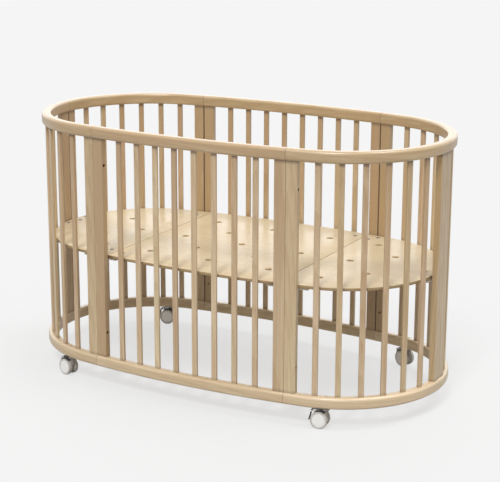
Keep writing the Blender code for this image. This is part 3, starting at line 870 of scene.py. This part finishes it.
def make_crib_frame():
    slat, slat_wear_and_highlight = slat_mesh()
    posts = {side: post_mesh(side) for side in (-1, 1)}
    seed = 1
    for panel, joints in PANELS.items():
        comb = f"{panel}_panel_bottom_rail_and_slats"
        top = f"{panel}_panel_top_rail"
        holes = [caster_arc(panel)] if panel in CASTER_HEADINGS else []
        start = panel_span(panel)[0]
        holes = [hole if hole > start else hole + ROUND for hole in holes]
        add_rail(panel, f"{panel}_top_rail", TOP_RAIL_LOW, TOP_RAIL_HIGH, top, seed)
        add_rail(panel, f"{panel}_bottom_rail", BOTTOM_RAIL_LOW, BOTTOM_RAIL_HIGH, comb, seed + 1, holes)
        seed += 2
        for number, arc in enumerate(slat_arcs(panel), 1):
            mesh = slat.copy()
            name = f"{panel}_slat_{number}"
            mood = slat_mood(panel, name, seed)
            add_attributes(mesh, upright_grain, slat_wear_and_highlight, seed, mood, joint_painted_shade)
            add_piece(name, mesh, "crib_frame", [comb], [beech], plan_matrix(arc))
            seed += 1
        for label, side, joint in (("left", 1, joints[0]), ("right", -1, joints[1])):
            mesh, wear_and_edge_highlight, painted_shading = posts[side]
            mesh = mesh.copy()
            name = f"{panel}_{label}_post_board"
            add_attributes(mesh, upright_grain, wear_and_edge_highlight, seed, MOODS.get(name), painted_shading)
            node = f"{panel}_panel_{label}_post"
            place = plan_matrix(JOINTS[joint])
            add_piece(name, mesh, "crib_frame", [node], [beech], place)
            seed += 1
            if side > 0:
                bolts = bolt_mesh(GAP / 2 + POST_WIDTH)
                add_piece(f"{panel}_post_bolts", bolts, "crib_frame", [node], [black_steel], place)


# ---------- mattress base


def arc_at(x):
    """Arc length from the middle of the front to the base's edge at X."""
    return SIDE_RADIUS * math.asin(x / (SIDE_RADIUS - BASE_INSET))


def base_outline(first, last, steps):
    return [plan_point(first + (last - first) * step / steps, BASE_INSET) for step in range(steps + 1)]


def vent_places():
    columns = [(VENT_PITCH * number, number % 2) for number in range(-2, 3)]
    for side in (-1, 1):
        columns.append((side * VENT_FIRST_END_ROW, 0))
        columns.append((side * (VENT_FIRST_END_ROW + VENT_PITCH), 1))
    for x, is_odd in columns:
        for row in (-1, 1) if is_odd else (-2, 0, 2):
            yield x, row * VENT_PITCH


def board_mesh(name, outline, holes):
    """A flat board with round holes and finely eased edges, from a filled curve."""
    curve = bpy.data.curves.new(name, "CURVE")
    curve.dimensions = "2D"
    curve.fill_mode = "BOTH"
    curve.extrude = BASE_THICKNESS / 2 - BASE_EDGE
    curve.bevel_depth = BASE_EDGE
    curve.bevel_resolution = 1
    curve.offset = -BASE_EDGE
    turn = [2 * math.pi * side / 28 for side in range(28)]
    loops = [[(point.x, point.y) for point in outline]]
    for x, y in holes:
        loops.append([(x + VENT_RADIUS * math.cos(t), y - VENT_RADIUS * math.sin(t)) for t in turn])
    for loop in loops:
        line = curve.splines.new("POLY")
        line.points.add(len(loop) - 1)
        line.use_cyclic_u = True
        for point, (x, y) in zip(line.points, loop):
            point.co = (x, y, 0.0, 1.0)
    shape = new_object(name, curve)
    mesh = final_mesh(shape)
    bpy.data.objects.remove(shape)
    body = bmesh.new()
    body.from_mesh(mesh)
    bmesh.ops.remove_doubles(body, verts=body.verts, dist=0.00001)
    for corner in body.verts:
        corner.co.z += (BASE_LOW + BASE_HIGH) / 2
    made = mesh_of(name, body)
    for face in made.polygons:
        face.material_index = 0 if abs(face.normal.z) > 0.9 else 1
    return made


def screw_mesh(places):
    """Pan-head screws with a round driver socket, standing on the base."""
    body = bmesh.new()
    outline = (
        (0, -0.0005),
        (0.0060, -0.0005),
        (0.0062, 0.0002),
        (0.0059, 0.0010),
        (0.0048, 0.0015),
        (0.0032, 0.0017),
        (0.0027, 0.0015),
        (0.0025, 0.0004),
        (0, 0.0003),
    )
    for x, y in places:
        turned(body, outline, 24, Matrix.Translation((x, y, BASE_HIGH)))
    return mesh_of("screws", body)


def bracket_mesh():
    """An angle bracket with rounded corners, its bend at the post and a hand bolt through it."""
    top = BASE_LOW - GAP
    body = bmesh.new()
    half, tab = BRACKET_WIDTH / 2, POST_WIDTH - 0.0005
    inner, reach = BRACKET_INSET, BRACKET_INSET + BRACKET_REACH
    shelf = rounded_section((-half, inner), (half, reach), (0.001, 0.001, 0.012, 0.012), turns=6)
    loft(body, slices(shelf, (top - BRACKET_THICKNESS, top)))
    low, high = (-tab, top - BRACKET_DROP), (tab, top - 0.0005)
    flange = rounded_section(low, high, (0.010, 0.010, 0.001, 0.001), turns=6)
    far = inner + BRACKET_THICKNESS
    loft(body, [[Vector((x, y, z)) for x, z in flange] for y in (inner, far)])
    place = Matrix.Translation((-HOLE_OFFSET, far, HOLE_HEIGHTS[-1]))
    place = place @ Matrix.Rotation(-math.pi / 2, 4, "X")
    outline = (
        (0, -0.001),
        (0.0070, -0.001),
        (0.0070, 0.0010),
        (0.0052, 0.0012),
        (0.0052, 0.0050),
        (0.0044, 0.0056),
        (0.0026, 0.0056),
        (0.0024, 0.0030),
        (0, 0.0028),
    )
    turned(body, outline, 24, place)
    return mesh_of("bracket", body)


# Screws of a bracket at a quarter of the plan and of one at an end: across and inset
QUARTER_SCREWS = ((0.0012, 0.0868), (0.0186, 0.0546), (-0.0564, 0.0755))
END_SCREWS = ((0.0, 0.062), (0.050, 0.050), (-0.050, 0.050))
# Tone and cast of the base's middle, right and left panels; the right panel is made lighter, a painted
# light that offsets the shade cast on it
BASE_MOODS = ((-0.05, 0.0), (-0.85, 0.1), (0.1, -0.1))


def base_painted_shading(point):
    """1 on the edges at the seams, a painted shade, and -1 on the walls of the vents, a painted light that
    lifts their shaded walls.
    """
    if abs(abs(point.x) - BASE_SEAM) < BASE_EDGE * 1.1:
        return 1.0
    return -1.0 if any(math.dist(place, point[:2]) < VENT_RADIUS * 1.3 for place in vent_places()) else 0.0


def make_base():
    seam = arc_at(BASE_SEAM)
    end = arc_at(BASE_SEAM + GAP)
    half = ROUND / 2
    outlines = {
        "base_middle_panel": base_outline(-seam, seam, MIDDLE_EDGE_STEPS)
        + base_outline(half - seam, half + seam, MIDDLE_EDGE_STEPS),
        "base_right_panel": base_outline(end, half - end, END_EDGE_STEPS),
        "base_left_panel": base_outline(half + end, ROUND - end, END_EDGE_STEPS),
    }
    for number, (node, outline) in enumerate(outlines.items()):
        left, right = min(point.x for point in outline), max(point.x for point in outline)
        holes = [(x, y) for x, y in vent_places() if left < x < right]
        mesh = board_mesh(node, outline, holes)
        shift = number * VENEER_SHIFT
        add_attributes(
            mesh,
            lambda point: (point.x, point.y + shift, point.z - BASE_LOW),
            lambda point: 0.0,
            0,
            BASE_MOODS[number],
            base_painted_shading,
        )
        add_piece(f"{node}_board", mesh, "mattress_base", [node], [birch, ply_edge])
    for joint, arc in JOINTS.items():
        node = f"base_bracket_{joint}"
        mesh = bracket_mesh()
        add_piece(f"{node}_plate", mesh, "mattress_base", [node], [warm_steel], plan_matrix(arc))
        screws = []
        flip = -1 if joint in ("front_left", "back_right") else 1
        for across, inset in END_SCREWS if joint.endswith("end") else QUARTER_SCREWS:
            place = plan_matrix(arc) @ Vector((across * flip, inset, 0))
            screws.append((place.x, place.y))
        mesh = screw_mesh(screws)
        add_piece(f"{node}_screws", mesh, "mattress_base", [node], [dull_steel])


# ---------- casters


def curved_plate(body, radius, thickness, width, start, end, steps, edge, centre=(0, 0)):
    """A plate bent round the axle between two angles, its edges rounded and its ends eased."""
    rings = []
    for step in range(-1, steps + 2):
        angle = start + (end - start) * max(0, min(step, steps)) / steps
        shrink = edge * 0.8 if step in (-1, steps + 1) else 0.0
        if step == -1:
            angle -= edge * 0.5 / radius
        if step == steps + 1:
            angle += edge * 0.5 / radius
        low, high = (radius, -width / 2), (radius + thickness, width / 2)
        section = rounded_section(low, high, (edge,) * 4, shrink, 3)
        across, up = math.cos(angle), math.sin(angle)
        rings.append([Vector((centre[0] + r * across, y, centre[1] + r * up)) for r, y in section])
    return loft(body, rings)


def wheel_meshes():
    """Three turned meshes: the wheel's body, its tread and the cap on its outer face."""
    half = WHEEL_WIDTH / 2
    rim = WHEEL_RADIUS
    hub = (
        (0.0032, -half + 0.0030),
        (0.0075, -half + 0.0030),
        (0.0080, -half + 0.0016),
        (0.0200, -half + 0.0016),
        (0.0206, -half + 0.0002),
        (rim - 0.0032, -half + 0.0002),
        (rim - 0.0026, -half + 0.0008),
        (rim - 0.0026, half - 0.0010),
        (rim - 0.0032, half - 0.0004),
        (0.0213, half - 0.0004),
        (0.0209, half - 0.0008),
        (0.0206, half - 0.0026),
        (0.0032, half - 0.0030),
    )
    # Depth below the tread's face and distance from its side, from the inside to the middle
    shoulder = ((0.0028, 0.0012), (0.0020, 0.0003), (0.0010, 0.0005), (0.0002, 0.0014), (0, 0.0028))
    tread = [(rim - depth, -half + aside) for depth, aside in shoulder]
    tread += [(rim - depth, half - aside) for depth, aside in reversed(shoulder)]
    cap = (
        (0, half - 0.0030),
        (0.0200, half - 0.0030),
        (0.0204, half - 0.0012),
        (0.0202, half - 0.0006),
        (0.0194, half - 0.0002),
        (0.0178, half - 0.0002),
        (0.0172, half - 0.0005),
        (0.0130, half - 0.0002),
        (0.0070, half - 0.0001),
        (0, half),
    )
    return [mesh_of("wheel", turned(bmesh.new(), outline, WHEEL_SIDES)) for outline in (hub, tread, cap)]


def hood_mesh(ceiling):
    """The caster's body: a hub between the wheels, a stem block and a collar under the rail."""
    body = bmesh.new()
    axle = Matrix.Translation((-CASTER_TRAIL, 0, WHEEL_RADIUS))
    half = HUB_WIDTH / 2 - 0.0003
    turned(body, rod(0.0225, -half, half, 0.001), 48, axle @ ACROSS)
    section = rounded_section((-0.0130, -half), (0.0075, half), (0.003,) * 4, turns=4)
    levels = (WHEEL_RADIUS + 0.006, WHEEL_RADIUS + 0.016, ceiling - 0.002)
    loft(body, slices(section, levels))
    outline = (
        (0, ceiling - 0.0045),
        (0.0098, ceiling - 0.0045),
        (0.0112, ceiling - 0.0034),
        (0.0115, ceiling - 0.0026),
        (0.0115, ceiling - 0.0008),
        (0.0110, ceiling - GAP),
        (0, ceiling - GAP),
    )
    turned(body, outline, 40)
    return mesh_of("hood", body)


def guard_mesh():
    """A mudguard over the wheels, with two ears behind it that hold the brake lever's pin."""
    body = bmesh.new()
    size = GUARD_RADIUS, GUARD_THICKNESS, GUARD_WIDTH
    curved_plate(body, *size, GUARD_START, GUARD_END, 18, 0.0009, (-CASTER_TRAIL, WHEEL_RADIUS))
    plain = len(body.faces)
    half = EAR_HEIGHT / 2
    corners = ((-EAR_END, -half), (EAR_LENGTH, half))
    radii = (0.0021, 0.0005, 0.0005, 0.0021)
    pivot_x = LEVER_RADIUS * math.cos(LEVER_ANGLE) - CASTER_TRAIL
    pivot_z = LEVER_RADIUS * math.sin(LEVER_ANGLE) + WHEEL_RADIUS
    for side in (-1, 1):
        place = Matrix.Translation((pivot_x, side * EAR_OFFSET, pivot_z))
        place = place @ Matrix.Rotation(-EAR_LEAN, 4, "Y")
        sheets = []
        for shrink, y in ((0.0003, -0.00105), (0.0, -0.00075), (0.0, 0.00075), (0.0003, 0.00105)):
            section = rounded_section(*corners, radii, shrink)
            sheets.append([place @ Vector((x, y, z)) for x, z in section])
        loft(body, sheets)
    for number, face in enumerate(body.faces):
        face.material_index = int(number >= plain)
    return mesh_of("guard", body)


def lever_mesh():
    """A straight brake lever with a knuckle at its pin, gripping ribs and a toe bar."""
    body = bmesh.new()
    half = 0.0078
    turned(body, rod(0.0026, -half, half, 0.0004), 24, ACROSS)
    toe_x = -LEVER_TOE_REACH - LEVER_RADIUS * math.cos(LEVER_ANGLE)
    toe = Vector((toe_x, 0, -LEVER_TOE_DROP - LEVER_RADIUS * math.sin(LEVER_ANGLE)))
    lean = Matrix.Rotation(math.atan2(-toe.x, -toe.z), 4, "Y")
    blade = rounded_section((-0.0011, -0.0075), (0.0011, 0.0075), (0.0007,) * 4, turns=3)
    loft(body, [[lean @ Vector((a, b, level)) for a, b in blade] for level in (-toe.length, 0)])
    turned(body, rod(LEVER_TOE_RADIUS, -0.0076, 0.0076, 0.0004), 20, Matrix.Translation(toe) @ ACROSS)
    for rib in range(4):
        place = lean @ Matrix.Translation((-0.0009, 0, 0.0045 + 0.0026 * rib - toe.length))
        turned(body, rod(0.0005, -0.0066, 0.0066, 0.0002), 12, place @ ACROSS)
    return mesh_of("lever", body)


def stem_mesh(floor):
    """The stud of a caster: a pin in the swivel, a flange under the rail and a shank in it."""
    top = BOTTOM_RAIL_LOW - GAP
    outline = (
        (0, floor),
        (0.0028, floor),
        (0.0028, top - 0.0020),
        (0.0104, top - 0.0020),
        (0.0110, top - 0.0016),
        (0.0110, top),
        (0.0039, top),
        (0.0039, BOTTOM_RAIL_HIGH - 0.0045),
        (0.0031, BOTTOM_RAIL_HIGH - 0.0036),
        (0, BOTTOM_RAIL_HIGH - 0.0036),
    )
    return mesh_of("stem", turned(bmesh.new(), outline, 32))


def make_casters():
    ceiling = BOTTOM_RAIL_LOW - GAP - 0.0020
    hub, tread, cap = wheel_meshes()

    # Lighter towards the wheel's rim: rubbing and a painted highlight
    def rim_wear_and_highlight(point):
        reach = math.hypot(point.x, point.y)
        return max(0.0, min(1.0, (reach - 0.019) / 0.002)) * 0.6

    wheel_parts = (("rim", hub, grey_plastic), ("tread", tread, tread_rubber), ("cap", cap, pale_plastic))
    lever_pin = Matrix.Translation(LEVER_RADIUS * Vector((math.cos(LEVER_ANGLE), 0, math.sin(LEVER_ANGLE))))
    for corner, heading in CASTER_HEADINGS.items():
        name = f"caster_{corner}"
        stem = Matrix.Translation(plan_point(caster_arc(corner), RAIL_WIDTH / 2))
        swivel = stem @ Matrix.Rotation(math.radians(heading) - math.pi, 4, "Z")
        axle = swivel @ Matrix.Translation((-CASTER_TRAIL, 0, WHEEL_RADIUS))
        hood_nodes, swivel_body = [f"{name}_hood"], f"{name}_swivel"

        mesh = stem_mesh(WHEEL_RADIUS + 0.010)
        add_piece(f"{name}_stud", mesh, "crib_frame", [f"{name}_stem"], [zinc_steel], stem)

        mesh = hood_mesh(ceiling)
        add_piece(f"{name}_body", mesh, swivel_body, hood_nodes, [taupe_plastic], swivel)

        mesh = guard_mesh()
        looks = [dark_plastic, grey_plastic]
        add_piece(f"{name}_guard", mesh, swivel_body, hood_nodes, looks, swivel)

        mesh = mesh_of("axle", turned(bmesh.new(), rod(0.003, -0.0158, 0.0158, 0.0004), 24))
        place = axle @ ACROSS
        add_piece(f"{name}_axle_pin", mesh, swivel_body, [f"{name}_axle"], [zinc_steel], place)

        mesh = lever_mesh()
        node = f"{name}_brake_lever"
        add_piece(f"{node}_arm", mesh, node, [node], [dark_plastic], axle @ lever_pin)

        for label, side in (("right", -1), ("left", 1)):
            node = f"{name}_{label}_wheel"
            place = axle @ Matrix.Translation((0, side * WHEEL_OFFSET, 0))
            place = place @ Matrix.Rotation(-side * math.pi / 2, 4, "X")
            for part, source, look in wheel_parts:
                mesh = source.copy()
                add_attributes(mesh, lambda point: point, rim_wear_and_highlight, 0)
                add_piece(f"{node}_{part}", mesh, node, [node], [look], place)


# ---------- stage


def make_floor(name, height, albedo, **glow):
    grey = (albedo, albedo, albedo, 1.0)
    look = new_material(name, Base_Color=grey, Roughness=1.0, Specular_IOR_Level=0.0, **glow)[0]
    body = bmesh.new()
    corners = ((-1, -1, 0), (1, -1, 0), (1, 1, 0), (-1, 1, 0))
    body.faces.new([body.verts.new(FLOOR_REACH * Vector(corner)) for corner in corners])
    mesh = mesh_of(name, body)
    mesh.materials.append(look)
    made = new_object(name, mesh)
    made.location.z = height
    return made


def make_stage():
    """A pale glowing floor for the camera, a plain one that lights the object, and soft lamps."""
    glow = {"Emission_Color": WHITE, "Emission_Strength": FLOOR_GLOW}
    floor = make_floor("floor", 0.0, FLOOR_ALBEDO, **glow)
    floor.visible_diffuse = False
    floor.visible_glossy = False
    below = make_floor("floor_bounce", -0.0005, BOUNCE_ALBEDO)
    below.visible_camera = False
    world = bpy.data.worlds.new("studio")
    bpy.context.scene.world = world
    world.use_nodes = True
    tree = world.node_tree
    heading = add_node(tree, "ShaderNodeTexCoord").outputs["Generated"]
    inputs = {0: heading, 1: WORLD_BRIGHT_SIDE}
    ahead = add_node(tree, "ShaderNodeVectorMath", inputs, operation="DOT_PRODUCT")
    level = remap(tree, ahead.outputs["Value"], *WORLD_FADE, WORLD_NEAR, WORLD_FAR)
    tree.links.new(level, tree.nodes["Background"].inputs["Strength"])
    tree.nodes["Background"].inputs["Color"].default_value = WHITE
    for name, (towards, power, spread) in LAMPS.items():
        lamp = bpy.data.lights.new(name, "SUN")
        lamp.angle = math.radians(spread)
        lamp.energy = power
        made = new_object(name, lamp)
        made.location = towards
        made.rotation_euler = (-Vector(towards)).to_track_quat("-Z", "Y").to_euler()


def make_camera():
    yaw, pitch, roll = CAMERA_YAW, CAMERA_PITCH, CAMERA_ROLL
    ahead = Vector((-math.sin(yaw) * math.cos(pitch), math.cos(yaw) * math.cos(pitch), -math.sin(pitch)))
    right = Vector((math.cos(yaw), math.sin(yaw), 0.0))
    up = right.cross(ahead)
    tilted_right = right * math.cos(roll) + up * math.sin(roll)
    tilted_up = up * math.cos(roll) - right * math.sin(roll)
    camera = new_object("camera", bpy.data.cameras.new("camera"))
    camera.data.lens = CAMERA_LENS
    camera.data.sensor_width = 36.0
    camera.data.clip_start = 0.1
    camera.data.clip_end = 200.0
    turn = Matrix((tilted_right, tilted_up, -ahead)).transposed().to_4x4()
    camera.matrix_world = Matrix.Translation(CAMERA_PLACE) @ turn
    bpy.context.scene.camera = camera
    bpy.context.scene.view_settings.view_transform = "Standard"


make_crib_frame()
make_base()
make_casters()
make_stage()
make_camera()
